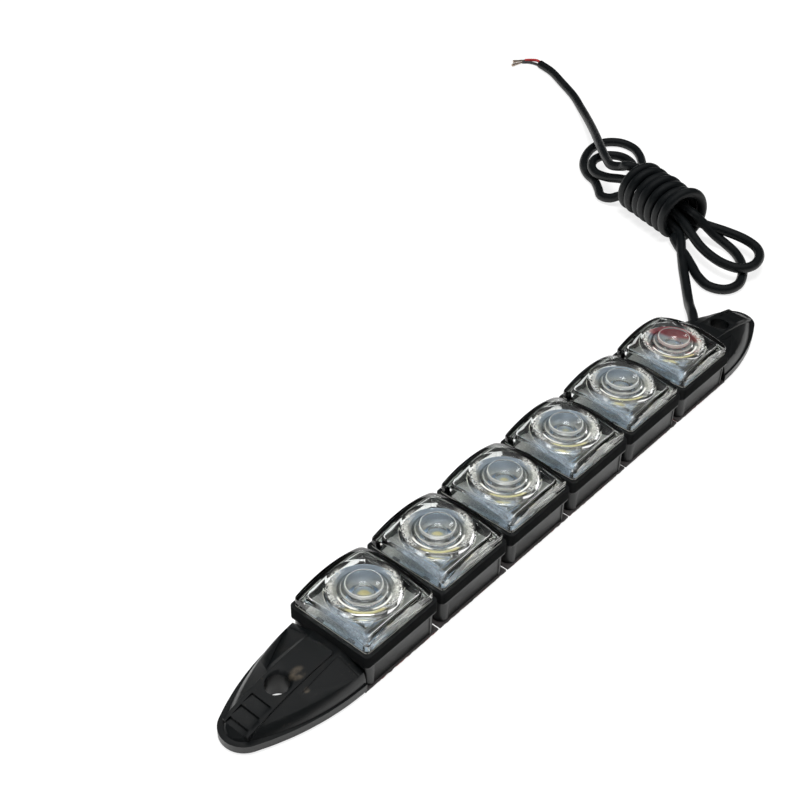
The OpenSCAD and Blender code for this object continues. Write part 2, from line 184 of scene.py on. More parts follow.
def maths(operation, swapped=False):
    """A method that writes one Math node."""
    def write(self, *others):
        given = [*others, self] if swapped else [self, *others]
        return self.nodes.node("ShaderNodeMath", {"operation": operation}, given)
    return write


class Value:
    """A node socket that can be written in an expression."""

    def __init__(self, nodes, socket):
        self.nodes, self.socket = nodes, socket

    __add__ = __radd__ = maths("ADD")
    __sub__ = maths("SUBTRACT")
    __rsub__ = maths("SUBTRACT", swapped=True)
    __mul__ = __rmul__ = maths("MULTIPLY")
    __truediv__ = maths("DIVIDE")
    __abs__ = maths("ABSOLUTE")
    less = maths("LESS_THAN")
    more = maths("GREATER_THAN")
    low = maths("MINIMUM")
    high = maths("MAXIMUM")
    power = maths("POWER")
    fraction = maths("FRACT")

    def part(self, name):
        """Another output of the node that made this value."""
        return Value(self.nodes, self.socket.node.outputs[name])

    def ramp(self, start, end):
        """0 below start, 1 over end, and smooth between them."""
        return self.nodes.node("ShaderNodeMapRange", {"interpolation_type": "SMOOTHSTEP"},
                               {"Value": self, "From Min": start, "From Max": end})


class Nodes:
    """A node tree that is written in expressions."""

    def __init__(self, tree):
        self.tree = tree

    def node(self, kind, settings=None, values=()):
        """Adds a node with its settings and its sockets' values or links, and gives its first output."""
        made = self.tree.nodes.new(kind)
        for key, setting in (settings or {}).items():
            setattr(made, key, setting)
        pairs = values.items() if isinstance(values, dict) else enumerate(values)
        for key, value in pairs:
            self.plug(made.inputs[key], value)
        return Value(self, [socket for socket in made.outputs if socket.enabled][0])

    def plug(self, socket, value):
        if isinstance(value, Value):
            self.tree.links.new(value.socket, socket)
        elif hasattr(value, "__len__") and len(value) == 3 and socket.type == "RGBA":
            socket.default_value = (*value, 1)
        else:
            socket.default_value = value


# Sockets of a Mix node that is set to colours
MIX_FACTOR, MIX_FIRST, MIX_SECOND, MIX_RESULT = 0, 6, 7, 2


class Paint(Nodes):
    """One material, and the nodes in it."""

    def __init__(self, name):
        self.material = bpy.data.materials.new(name)
        self.material.use_nodes = True
        super().__init__(self.material.node_tree)
        self.shader = self.tree.nodes["Principled BSDF"]

    def set(self, **values):
        for key, value in values.items():
            self.plug(self.shader.inputs[key.replace("_", " ")], value)
        return self

    def place(self):
        """Object coordinates, in metres."""
        return self.node("ShaderNodeTexCoord").part("Object")

    def axis(self, name):
        return self.node("ShaderNodeSeparateXYZ", None, [self.place()]).part(name)

    def grain(self, size, detail=2.0, at=None):
        """Noise from 0 to 1 whose features are about size metres across."""
        return self.node("ShaderNodeTexNoise", None,
                         {"Vector": at or self.place(), "Scale": 1 / size, "Detail": detail})

    def streaks(self, size, detail, stretch):
        """Noise drawn out along X, by a factor below 1."""
        at = self.node("ShaderNodeMapping", None, {"Vector": self.place(), "Scale": (stretch, 1, 1)})
        return self.grain(size, detail, at)

    def spot(self, middle, reach):
        """1 at a point, falling to 0 at its reach along each axis."""
        squares = [((self.axis(name) - m) / r).power(2) for name, m, r in zip("XYZ", middle, reach)]
        return 1 - (squares[0] + squares[1] + squares[2]).ramp(0, 1)

    def mix(self, share_of_second, first, second):
        mixer = self.node("ShaderNodeMix", {"data_type": "RGBA"}).socket.node
        for place, value in ((MIX_FACTOR, share_of_second), (MIX_FIRST, first), (MIX_SECOND, second)):
            self.plug(mixer.inputs[place], value)
        return Value(self, mixer.outputs[MIX_RESULT])

    def bump(self, height, depth):
        """Raises the surface by height times depth metres."""
        return self.set(Normal=self.node("ShaderNodeBump", None, {"Distance": depth, "Height": height}))

    def blend(self, share_of_second, second):
        """Lays a second shader over part of the surface."""
        first = Value(self, self.shader.outputs[0])
        mixed = self.node("ShaderNodeMixShader", None, [share_of_second, first, second])
        self.plug(self.tree.nodes["Material Output"].inputs["Surface"], mixed)
        return self

    def cover(self, share_of_cover, tone, roughness):
        """Lays a thin opaque coat of another colour over part of the surface."""
        coat = self.node("ShaderNodeBsdfPrincipled", None, {"Base Color": tone, "Roughness": roughness})
        return self.blend(share_of_cover, coat)


# Materials


# Rubbed spots beside the near screw hole: middle, from the cap's inner face, reach and strength
SCUFF = ((-9.9, -1.5, 7), (2.3, 1.8, 3), 0.2)
FLECK = ((-10.9, -5, 5), (0.9, 0.7, 3), 0.22)


def housing_plastic():
    """Black plastic with dust, rubbed spots, and a band under the lens that leans back and looks darker."""
    look = bpy.context.scene.drl_housing
    paint = Paint("housing_plastic")
    cloud = paint.grain(6 * MM, 4)
    fine = paint.grain(0.25 * MM, 3)
    dust = paint.grain(2.2 * MM, 6)
    specks = paint.grain(0.5 * MM, 2).ramp(0.66, 0.74) * cloud.ramp(0.45, 0.7)

    def rubbed(middle, reach, strength):
        at = Vector(middle) * MM - Vector((CAP_X, 0, 0))
        return paint.spot(at, Vector(reach) * MM) * strength

    rubs = (rubbed(*SCUFF) + rubbed(*FLECK)) * dust.ramp(0.38, 0.62)
    dusty = (dust.ramp(0.5, 0.85) * 0.015 + specks * 0.12 + rubs).low(1)
    paint.set(Base_Color=paint.mix(dusty, tuple(look.plastic), tuple(look.dust)),
              Roughness=cloud * 0.14 + fine * 0.08 + (look.gloss - 0.1), IOR=1.5)
    on_base = abs(paint.axis("X")).less(CAP_X + 0.05 * MM)
    band = (paint.axis("Z") - (BASE_TOP - look.flange)).high(0) * on_base
    grain = (fine * 0.7 + cloud * 2) * (0.012 * MM)
    return paint.bump(grain - band * look.lean, 1).material


def module_plan(paint):
    """Offsets in X and Y from the middle of the module that the shaded point belongs to."""
    start = MODULE_X[1] - PITCH / 2
    turns = ((paint.axis("X") - start) / PITCH).fraction()
    return (turns - 0.5) * PITCH, paint.axis("Y")


# Painted highlight, reflection and shade rings on the moat, as inner and outer radius in millimetres
BUTTON_HIGHLIGHT = (3.7, 3.92)
BUTTON_SHADE = (3.98, 4.55)
STEP_HIGHLIGHT = (4.66, 4.84)
STEP_SHADE = (5.0, 5.5)
FRONT_HIGHLIGHT_ARCS = (5.5, 5.95)
SIDE_REFLECTION_STREAKS = (6.2, 7.6)
YELLOW_REFLECTION_ARC = (6.3, 7.2)


def clear_plastic():
    """Clear, with painted highlights, reflections and shade where the moulded steps and walls of the lens
    turn the light.
    """
    look = bpy.context.scene.drl_lens
    paint = Paint("clear_plastic")
    along, across = module_plan(paint)
    height = paint.axis("Z")
    radius = (along * along + across * across).power(0.5)
    aside = abs(along - across) / (radius * math.sqrt(2))
    behind = (along + across) / (radius * math.sqrt(2))
    front = 1 - behind.ramp(-0.9, -0.7)
    upper = height.more(LENS_HIGH.z - look.button_proud - look.moat_depth - 0.3 * MM)
    face = LENS_LOW.y + 0.2 * MM

    def ring(band, soft=0.1):
        start, end = [radius.ramp((r - soft) * MM, (r + soft) * MM) for r in band]
        return start * (1 - end) * upper

    # Painted shade: dark rings, under the painted highlights
    highlight_arcs = behind.ramp(-0.99, -0.93) * (1 - behind.ramp(-0.45, -0.2))
    dark = (ring(BUTTON_SHADE) * 0.62).high(ring(STEP_SHADE) * (1 - highlight_arcs) * 0.7)

    # Painted highlights: pale rings and arcs
    pale = (ring(BUTTON_HIGHLIGHT, 0.06) * 0.5).high(ring(STEP_HIGHLIGHT, 0.06) * 0.45)
    pale = pale.high(ring(FRONT_HIGHLIGHT_ARCS) * highlight_arcs * 0.75)
    cloud = paint.grain(0.45 * MM, 3).ramp(0.3, 0.66)
    pale = pale.high(ring(SIDE_REFLECTION_STREAKS, 0.3) * aside.ramp(0.5, 0.85) * cloud * 0.5)
    pale = pale.high(ring(YELLOW_REFLECTION_ARC, 0.3) * front * 0.45)

    # Painted reflections: streaks on the long wall, and a painted highlight line at the foot of the two
    # walls in front
    pale = pale.high(across.less(face) * paint.streaks(0.5 * MM, 3, 0.12).ramp(0.48, 0.6) * 0.5)
    foot = height.more(BASE_TOP + 0.02 * MM) * height.less(BASE_TOP + 0.3 * MM)
    pale = pale.high(across.low(along).less(face) * foot * 0.75)

    # Painted reflection of the blue board: haze along the short wall and in the front corner
    reach = across.ramp(-9.7 * MM, -8.7 * MM) * (1 - across.ramp(0, 6 * MM))
    strip = (1 - along.ramp(-7.9 * MM, -7.6 * MM)) * reach
    corner = (1 - (along + across).ramp(-12 * MM, -11 * MM)) * along.ramp(-7.3 * MM, -7 * MM)
    painted_haze = strip.high(corner * across.ramp(-7.7 * MM, -7.3 * MM)) * height.more(BASE_TOP + 0.5 * MM)
    mottled = paint.grain(0.6 * MM, 3).ramp(0.36, 0.62) * 0.2 + 0.1
    pale = pale.high(painted_haze * mottled)

    throat = (1 - radius.ramp(2.35 * MM, 2.5 * MM)) * (1 - upper)
    # The painted shade rings darken the clear plastic's tint
    paint.set(Base_Color=paint.mix(dark, tuple(look.tint), (0.12, 0.13, 0.13)), IOR=look.index,
              Roughness=throat * 0.22 + 0.012, Transmission_Weight=1.0)
    paint.bump(paint.grain(3.5 * MM, 2), 0.014 * MM)
    # A yellow painted reflection in front of the button; the painted highlights and reflections lie over
    # the plastic as a pale coat
    yellow = front * radius.more(6.05 * MM) * upper
    tone = paint.mix(yellow, (0.9, 0.9, 0.84), (0.90, 0.84, 0.42))
    return paint.cover(pale, paint.mix(painted_haze, tone, (0.56, 0.68, 0.78)), 0.35).material


def frosted_skin():
    """Matt skin with painted reflections: pale at the sides, blue behind, and red behind the last button, a
    painted reflection of the supply wire beside it.
    """
    look = bpy.context.scene.drl_lens
    paint = Paint("frosted_skin")
    along, across = module_plan(paint)
    cloud = paint.grain(1.6 * MM, 3)
    fine = paint.grain(0.35 * MM, 3)
    # Painted reflections: cream at the sides, blue behind, and the red supply wire in the last module
    behind = (along + across).ramp(2.5 * MM, 8 * MM)
    beside = abs(along - across).ramp(6.5 * MM, 10.5 * MM)
    tone = paint.mix(fine.ramp(0.45, 0.75) * 0.5, tuple(look.frost), (0.12, 0.125, 0.12))
    tone = paint.mix(beside * cloud.ramp(0.3, 0.55) * 0.8, tone, (0.86, 0.85, 0.76))
    tone = paint.mix(behind * 0.75, tone, (0.37, 0.47, 0.60))
    last = paint.axis("X").more(MODULE_X[LAST] - PITCH / 2)
    wire = last * (along * 0.9 + across * 0.4).ramp(2.6 * MM, 4.2 * MM)
    tone = paint.mix(wire * 0.85, tone, tuple(bpy.context.scene.drl_cord.red))
    paint.set(Base_Color=tone, Roughness=cloud * 0.3 + 0.3)
    return paint.bump(fine, 0.05 * MM).material


def board_finish():
    """Board whose blues are painted reflections, with plated parts, a paler front edge of painted light, a
    greyer front corner of painted shade, dark chips and a dark gap round the lamp.
    """
    look = bpy.context.scene.drl_board
    paint = Paint("board_finish")
    along, across = module_plan(paint)
    chip = paint.axis("Z").more(BOARD_TOP - 0.45 * MM)
    weave = paint.grain(0.8 * MM, 3)
    mottle = paint.grain(0.45 * MM, 4)
    # Painted light along the front edge, and painted shade in the front corner
    front = 1 - (along + across * 0.2).ramp(-6.6 * MM, -5.6 * MM)
    corner = 1 - (along + across).ramp(-9.5 * MM, -6 * MM)
    middle = 1 - (along * along + across * across).ramp(12 * MM * MM, 18 * MM * MM)
    out = abs(along).high(abs(across))
    gap = out.more(2.5 * MM) * (1 - out.ramp(2.95 * MM, 3.1 * MM))
    streaks = paint.streaks(0.5 * MM, 2, 0.1).ramp(0.44, 0.6)
    side = 1 - across.ramp(-8.2 * MM, -7.4 * MM)
    plated = paint.mix(mottle.ramp(0.42, 0.7), tuple(look.plate), (0.62, 0.64, 0.60))
    plated = paint.mix(side, plated, paint.mix(streaks, (0.06, 0.06, 0.055), (0.80, 0.78, 0.70)))
    tone = paint.mix(middle, plated, tuple(look.mask))
    for where, above in ((front, tuple(look.rim)), (corner, tuple(look.shade)), (gap, (0.03, 0.035, 0.04)),
                         (weave * 0.15, (0.7, 0.74, 0.76)), (chip, tuple(look.chip))):
        tone = paint.mix(where, tone, above)
    paint.set(Base_Color=tone, Roughness=weave * 0.2 + 0.35)
    return paint.bump(weave, 0.02 * MM).material


def lamp_finish():
    """Pale package with a round yellow window."""
    look = bpy.context.scene.drl_board
    paint = Paint("lamp_finish")
    along, across = module_plan(paint)
    radius = (along * along + across * across).power(0.5)
    window = 1 - radius.ramp(1.62 * MM, 1.72 * MM)
    cloud = paint.grain(0.5 * MM, 3)
    tone = paint.mix(window, tuple(look.package), tuple(look.phosphor))
    tone = paint.mix(cloud * 0.12, tone, (0.9, 0.88, 0.8))
    return paint.set(Base_Color=tone, Roughness=cloud * 0.15 + 0.3).material


def tape_finish():
    """Dark foam with patches of red liner along its foot."""
    look = bpy.context.scene.drl_tape
    paint = Paint("tape_finish")
    cells = paint.grain(0.3 * MM, 4)
    wander = paint.grain(3 * MM, 3) * (0.4 * MM)
    red = 1 - (paint.axis("Z") + wander).ramp(0.3 * MM, 0.38 * MM)
    patches = paint.grain(5 * MM, 2).ramp(0.5, 0.6)
    tone = paint.mix(red * patches * cells.ramp(0.3, 0.5), tuple(look.foam), tuple(look.liner))
    paint.set(Base_Color=tone, Roughness=cells * 0.25 + 0.6)
    return paint.bump(cells, 0.05 * MM).material


def ribbon_finish():
    look = bpy.context.scene.drl_ribbon
    paint = Paint("ribbon_finish")
    cloud = paint.grain(1.5 * MM, 3)
    tone = paint.mix(cloud * 0.4, tuple(look.plastic), (0.2, 0.2, 0.2))
    paint.set(Base_Color=tone, Roughness=cloud * 0.2 + 0.25)
    return paint.bump(cloud, 0.03 * MM).material


# The cord's jacket reflects less than moulded plastic, which has 0.5
JACKET_SHINE = 0.3


def jacket_finish():
    look = bpy.context.scene.drl_cord
    paint = Paint("jacket_finish")
    cloud = paint.grain(5 * MM, 4)
    fine = paint.grain(0.3 * MM, 3)
    tone = paint.mix(cloud.ramp(0.5, 0.8) * 0.02, tuple(look.jacket), (0.25, 0.25, 0.25))
    paint.set(Base_Color=tone, Roughness=cloud * 0.15 + fine * 0.08 + 0.3, Specular_IOR_Level=JACKET_SHINE)
    return paint.bump(fine + cloud * 2, 0.015 * MM).material


# Insulation of the black wires, and of the red one beside the last board
BLACK_PLASTIC = (0.012, 0.012, 0.013)
SUPPLY_RED = (0.55, 0.02, 0.02)


def insulation(name, tone):
    """Soft plastic round a wire."""
    paint = Paint(name)
    cloud = paint.grain(1 * MM, 3)
    paint.set(Base_Color=paint.mix(cloud * 0.15, tone, (0.3, 0.3, 0.3)), Roughness=cloud * 0.2 + 0.3)
    return paint.bump(cloud, 0.02 * MM).material


def strand_metal():
    look = bpy.context.scene.drl_cord
    paint = Paint("strand_metal")
    cloud = paint.grain(0.6 * MM, 3)
    tone = paint.mix(cloud * 0.5, tuple(look.strand), (0.35, 0.16, 0.07))
    return paint.set(Base_Color=tone, Roughness=cloud * 0.2 + 0.25, Metallic=1.0).material


# Meshes


def placed(name, data):
    """A new object in the scene."""
    piece = bpy.data.objects.new(name, data)
    bpy.context.scene.collection.objects.link(piece)
    return piece


def put(name, data, material, body=None, nodes=()):
    """Adds a mesh or curve to the scene as a piece, on its body and in place of its nodes."""
    piece = placed(name, data)
    data.materials.clear()
    data.materials.append(material)
    if body:
        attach(piece, body)
    if nodes:
        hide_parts(*nodes)
    return piece


def finished(bm, name):
    """The mesh that bm holds, which is freed."""
    mesh = bpy.data.meshes.new(name)
    bm.to_mesh(mesh)
    bm.free()
    return mesh


def smooth(mesh, angle=math.radians(32)):
    mesh.polygons.foreach_set("use_smooth", [True] * len(mesh.polygons))
    mesh.set_sharp_from_angle(angle=angle)
    return mesh


def mesh_from_rings(name, rings):
    """A closed skin through rings of the same count. A ring of one point closes an end."""
    bm = bmesh.new()
    made = [[bm.verts.new(p) for p in ring] for ring in rings]
    for a, b in zip(made, made[1:]):
        count = max(len(a), len(b))
        for i in range(count):
            j = (i + 1) % count
            corners = [a[i % len(a)], a[j % len(a)], b[j % len(b)], b[i % len(b)]]
            bm.faces.new(list(dict.fromkeys(corners)))
    bmesh.ops.recalc_face_normals(bm, faces=bm.faces)
    return finished(bm, name)


def square_reach(angle, half, corner):
    """How far the edge of a rounded square lies from its middle in one direction."""
    less, more = sorted((abs(math.cos(angle)), abs(math.sin(angle))))
    flat = half - corner
    reach = half / more
    if less * reach <= flat:
        return reach
    lean = (less + more) * flat
    return lean + math.sqrt(max(0.0, lean * lean - 2 * flat * flat + corner * corner))


def ring_directions(side=14, round_corner=7, corner_share=0.05):
    """Angles that crowd at the corners of a square."""
    diagonal = math.pi / 4
    flat = diagonal - corner_share
    edge = [math.sin(i / side * math.pi / 2) * flat for i in range(side)]
    corner = [flat + corner_share * i / round_corner for i in range(round_corner)]
    eighth = edge + corner
    quarter = [-a for a in reversed(eighth[1:])] + eighth
    return [a + q * math.pi / 2 for q in range(4) for a in [-diagonal] + quarter]


DIRECTIONS = ring_directions()


def round_ring(radius, z):
    return [Vector((radius * math.cos(a), radius * math.sin(a), z)) for a in DIRECTIONS]


def square_ring(half, corner, z):
    reaches = [square_reach(a, half, corner) for a in DIRECTIONS]
    return [Vector((r * math.cos(a), r * math.sin(a), z)) for a, r in zip(DIRECTIONS, reaches)]


# The lens's hidden sizes
NECK = 3.2 * MM
WELL = 2.3 * MM
SPIGOT = 0.8 * MM
SPIGOT_CORNER = 1 * MM
HOLLOW_CORNER = 1.5 * MM
ROOF_UNDER_MOAT = 1.4 * MM
THROAT_OVER_LAMP = 0.35 * MM
SKIN_FROM, SKIN_TO = 0.06 * MM, 0.2 * MM

# The funnel's curve from its rim (1, 0) to its neck (0, 1)
FUNNEL = [(0.97, 0.06), (0.82, 0.26), (0.62, 0.48), (0.38, 0.72), (0.12, 0.94), (0, 1)]

# The button's face, as shares of its radius, and its stepped side, in millimetres out and up from the moat
BUTTON_FACE = [
    (0.3, -0.27), (0.5, -0.2), (0.72, -0.1), (0.87, -0.03), (0.95, 0), (0.985, -0.04), (1, -0.13)]
BUTTON_SIDE = [
    (0, 1.1), (0.05, 0.92), (0.2, 0.78), (0.5, 0.72), (0.68, 0.71), (0.78, 0.66), (0.84, 0.52),
    (0.9, 0.34), (1.02, 0.15), (1.25, 0.04), (1.5, 0)]

# The rounded top of the well: shares of its radius, and millimetres below the roof
WELL_TOP = [(0.8, 1.05), (0.5, 1.2), (0.25, 1.27)]


def lens_heights(look):
    """The dome's top, the moat's floor, the roof of the hollow and the throat over the lamp."""
    top = LENS_HIGH.z - look.button_proud
    floor = top - look.moat_depth
    return top, floor, floor - ROOF_UNDER_MOAT, LED_TOP + THROAT_OVER_LAMP


def funnel_line(look):
    """Radius and height along the funnel."""
    roof, throat = lens_heights(look)[2:]
    return [(NECK + (look.moat - NECK) * r, roof - (roof - throat) * z) for r, z in FUNNEL]


def skin_mesh():
    """Thin matt skin on the outside of the funnel, which carries painted reflections."""
    line = funnel_line(bpy.context.scene.drl_lens)
    rings = [round_ring(r + SKIN_FROM, z) for r, z in line]
    rings += [round_ring(r + SKIN_TO, z) for r, z in line[::-1]]
    return smooth(mesh_from_rings("skin", rings + rings[:1]), math.radians(40))


def button_rings(look):
    """The dished face of the button and its stepped side."""
    top, floor = lens_heights(look)[:2]
    proud = top + look.button_proud
    rings = [[Vector((0, 0, proud - 0.3 * MM))]]
    rings += [round_ring(look.button * r, proud + z * MM) for r, z in BUTTON_FACE]
    return rings + [round_ring(look.button + r * MM, floor + z * MM) for r, z in BUTTON_SIDE]


def dome_rings(look):
    """The moat's floor and cone, the dome round it, and the rounded edge of the dome."""
    top, floor = lens_heights(look)[:2]

    def dome(radius):
        return top - look.dome + math.sqrt(look.dome ** 2 - radius * radius)

    def draped(ring, drop=0.0):
        return [Vector((p.x, p.y, dome(p.xy.length) - drop)) for p in ring]

    inner = look.moat - 2 * MM
    lip = dome(look.moat)
    rings = [round_ring(inner - 0.2 * MM, floor), round_ring(inner + 0.05 * MM, floor + 0.04 * MM)]
    for up in (0.2, 0.55, 0.92):
        rings.append(round_ring(inner + up * (look.moat - inner), floor + up * (lip - floor)))
    rings.append(round_ring(look.moat + 0.06 * MM, lip - 0.01 * MM))
    start = round_ring(look.moat + 0.25 * MM, 0)
    edge = square_ring(LENS_HALF - look.edge, look.corner - look.edge / 2, 0)
    for out in (0, 0.25, 0.5, 0.75, 0.93, 1):
        rings.append(draped([a.lerp(b, out) for a, b in zip(start, edge)]))
    for turn in (22, 45, 68, 90):
        lean = math.radians(turn)
        half = LENS_HALF - look.edge * (1 - math.sin(lean))
        rings.append(draped(square_ring(half, look.corner, 0), look.edge * (1 - math.cos(lean))))
    return rings


def wall_rings(look, rim):
    """The outer wall below its rim, the spigot inside the base, and the hollow up to its roof."""
    roof = lens_heights(look)[2]
    low = BOARD_TOP - 0.4 * MM
    hollow = LENS_HALF - look.wall
    spigot = hollow + SPIGOT
    foot = BASE_TOP + 0.3 * MM
    rings = [[Vector((p.x, p.y, p.z + (foot - p.z) * down)) for p in rim] for down in (0.5, 1)]
    for half, corner, height in (
            (LENS_HALF, look.corner, BASE_TOP + 0.1 * MM), (LENS_HALF - 0.1 * MM, look.corner, BASE_TOP),
            (spigot, SPIGOT_CORNER, BASE_TOP), (spigot, SPIGOT_CORNER, low), (hollow, 1.2 * MM, low),
            (hollow, 1.2 * MM, BASE_TOP), (hollow, HOLLOW_CORNER, roof - 0.4 * MM),
            (hollow - 0.12 * MM, HOLLOW_CORNER, roof - 0.1 * MM),
            (hollow - 0.35 * MM, HOLLOW_CORNER, roof)):
        rings.append(square_ring(half, corner, height))
    return rings


def funnel_rings(look):
    """The funnel down to its throat, and the well inside it with its rounded top."""
    roof, throat = lens_heights(look)[2:]
    rings = [round_ring(look.moat - 0.05 * MM, roof)] + [round_ring(r, z) for r, z in funnel_line(look)]
    rings += [round_ring(WELL + 0.1 * MM, throat), round_ring(WELL, throat + 0.1 * MM)]
    rings.append(round_ring(WELL - 0.1 * MM, roof - 0.9 * MM))
    rings += [round_ring(WELL * r, roof - z * MM) for r, z in WELL_TOP]
    return rings + [[Vector((0, 0, roof - 1.3 * MM))]]


def lens_mesh():
    """The lens as one skin: over the button, moat and dome, down the wall and up the funnel."""
    look = bpy.context.scene.drl_lens
    rings = button_rings(look) + dome_rings(look)
    rings += wall_rings(look, rings[-1]) + funnel_rings(look)
    return smooth(mesh_from_rings("lens", rings), math.radians(28))


def moved(mesh, offset, name):
    copy = mesh.copy()
    copy.name = name
    copy.transform(Matrix.Translation(offset))
    return copy


def solid_copy(node, name):
    """A CAD solid with its flat faces joined again, ready for rounded edges."""
    bm = bmesh.new()
    bm.from_mesh(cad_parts[node].data)
    bmesh.ops.remove_doubles(bm, verts=bm.verts, dist=0.002 * MM)
    bmesh.ops.dissolve_limit(bm, angle_limit=math.radians(1.5), verts=bm.verts, edges=bm.edges)
    return finished(bm, name)


def rounded(piece, width):
    bevel = piece.modifiers.new("rounded edges", "BEVEL")
    bevel.width = width
    bevel.segments = 2
    bevel.limit_method = "ANGLE"
    bevel.angle_limit = math.radians(40)
    bevel.use_clamp_overlap = True
    bevel.harden_normals = False
    return piece


# The cord


def beside_cap(points):
    """Route points in millimetres from the middle of the far cap's inner face, as in the CAD source."""
    return [Vector((CAP_X + x * MM, y * MM, z * MM)) for x, y, z in points]


LEAD_ROUTE = [
    (4, 0.5, 4), (8.5, 3.8, 4), (13, 7, 4), (16, 9.2, 3.8), (19, 11.4, 2.9), (22, 13.6, 1.9),
    (26, 16.5, 1.4), (32, 21, 1.4), (38, 25.5, 1.4), (44, 29.8, 1.8)]
TAIL_ROUTE = [
    (61.3, 66.9, 9.4), (65.3, 71.4, 8.3), (72.3, 78.3, 7.3), (81.3, 86.5, 5.6),
    (92.2, 96.6, 3.1), (100.7, 105.4, 1.6), (107, 113, 1.4), (113, 122.5, 1.4), (117.5, 130, 1.4),
    (120, 137, 1.4)]
RED_ROUTE = [(120, 137, 2), (121.3, 139.5, 1.6), (121.4, 142, 1), (120.3, 144.2, 0.6)]
BLACK_ROUTE = [(120, 137, 0.6), (120.4, 139.5, 0.6), (119.8, 142, 0.6), (118.2, 143.8, 0.6)]

# The leads, and how far their strands start inside the insulation
LEAD_DIAMETER = 1 * MM
STRANDS_INSIDE = 0.4 * MM

# Where the hank lies on the table, in millimetres, and how it is turned
HANK_AT = (52.3, 35)
HANK_TURN = math.radians(72)

# Loops of the hank: u along the wraps, v to the left, and height, all in millimetres
FAR_RING = [
    (24, 3, 3.9), (27, 5.6, 2.2), (30.5, 6.4, 1.5), (34.5, 4.4, 1.4), (39, 2.4, 1.4), (44, 1.6, 1.4),
    (49, -0.8, 1.4), (53.5, -5, 1.4), (57, -10.5, 1.4), (58, -16.2, 1.4), (55.4, -20.6, 1.4),
    (50.4, -22, 1.4), (45.4, -20.6, 1.4), (40, -17.4, 1.5), (34.5, -13, 2), (29, -8.4, 3.2),
    (24, -4.4, 4.8)]
NEAR_LOOP_A = [
    (0, -3.2, 6), (-4, -6, 5.3), (-9, -9.2, 4.8), (-14.2, -11.4, 4.4), (-19.2, -11.4, 4.2),
    (-23.4, -8.6, 4.2), (-25.8, -4, 4.2), (-25, 0.4, 4.2), (-21, 2.6, 4.2), (-16, 3, 4.2),
    (-10.5, 2.4, 4.4), (-5, 1.2, 5.2), (0, 0.6, 6.6)]
FAR_LOOP_D = [
    (24, 0.6, 8), (29, 0.8, 6.6), (34, 1.8, 5), (39, 2.4, 4.3), (43.4, 0.6, 4.2), (46.4, -3.2, 4.2),
    (46.6, -7.8, 4.2), (43.8, -11.2, 4.2), (39.4, -11.6, 4.3), (34.6, -9.4, 4.8), (29.4, -6.2, 6),
    (24, -3.2, 7.8)]
NEAR_LOOP_B = [
    (0, -2.6, 8.6), (-3.2, -4.6, 6.2), (-6.6, -6.6, 3.4), (-10.4, -8, 1.8), (-15, -7.6, 1.4),
    (-20, -5.4, 1.4), (-24.8, -1.6, 1.4), (-28.2, 3.2, 1.4), (-28.2, 8, 1.4), (-24.6, 10.8, 1.4),
    (-19.4, 10.2, 1.4), (-14, 8, 1.4), (-9, 6, 1.4), (-4.4, 4.6, 1.4)]

# Passes through the wraps (v and height), the wraps' ends (u) and first angle, and points beside them
INNER_RUNS = [(2.2, 5.2), (-2, 6), (1, 8.6), (-2.2, 9.4)]
WRAPS_FROM, WRAPS_TO = -0.6, 22.6
WRAP_START = math.radians(-60)
INTO_HANK = [(-1.5, 2.2, 3.4), (3, 2.4, 4.6)]
OUT_OF_HANK = [(25.6, 1.6, 12.9), (28.6, 0.6, 11)]


def in_hank(u, v, z):
    turned = Matrix.Rotation(HANK_TURN, 3, "Z") @ Vector((u, v, z))
    return Vector((CAP_X, 0, 0)) + (turned + Vector((*HANK_AT, 0))) * MM


def wraps(turns, radius, cord_radius):
    """The turns round the middle of the hank: uneven, and widest at the start."""
    steps = int(turns * 24)
    made = []
    for i in range(steps + 1):
        done = i / steps
        turned = done * turns
        angle = WRAP_START - 2 * math.pi * turned
        sway = 0.3 * noise.noise(Vector((turned * 0.9, 7.3, 1.1)))
        drift = 0.5 * noise.noise(Vector((turned * 0.7, 2.1, 5.7)))
        wide = radius + 0.65 * max(0, 1 - turned) ** 0.8 + sway
        made.append((WRAPS_FROM + (WRAPS_TO - WRAPS_FROM) * done + drift, wide * math.cos(angle),
                     wide + cord_radius + wide * math.sin(angle)))
    return made


def cord_route():
    look = bpy.context.scene.drl_cord
    near, far = 8, 17
    first, second, third, fourth = INNER_RUNS
    hank = INTO_HANK + [(near + 1, *first), (far, *first)] + FAR_RING
    hank += [(far, *second), (near, *second)] + NEAR_LOOP_A
    hank += [(near, *third), (far, *third)] + FAR_LOOP_D
    hank += [(far, *fourth), (near, *fourth)] + NEAR_LOOP_B
    hank += wraps(look.turns, look.wrap_radius / MM, look.diameter / MM / 2) + OUT_OF_HANK
    return beside_cap(LEAD_ROUTE) + [in_hank(*point) for point in hank] + beside_cap(TAIL_ROUTE)


def flowing(points, step=1.1 * MM):
    """A Catmull-Rom line through the points, in short steps."""
    ends = [points[0] * 2 - points[1], *points, points[-1] * 2 - points[-2]]
    line = []
    for a, b, c, d in zip(ends, ends[1:], ends[2:], ends[3:]):
        count = max(2, round((c - b).length / step))
        for i in range(count):
            done = i / count
            line.append(0.5 * ((2 * b) + (c - a) * done + (2 * a - 5 * b + 4 * c - d) * done * done
                               + (3 * b - a - 3 * c + d) * done ** 3))
    return [*line, points[-1]]


def tube(name, points, diameter):
    """A round curve through the points."""
    curve = bpy.data.curves.new(name, "CURVE")
    curve.dimensions = "3D"
    curve.bevel_depth = diameter / 2
    curve.bevel_resolution = 8
    curve.use_fill_caps = True
    spline = curve.splines.new("POLY")
    spline.points.add(len(points) - 1)
    for point, place in zip(spline.points, points):
        point.co = (*place, 1)
    spline.use_smooth = True
    return curve


# Geometry Nodes


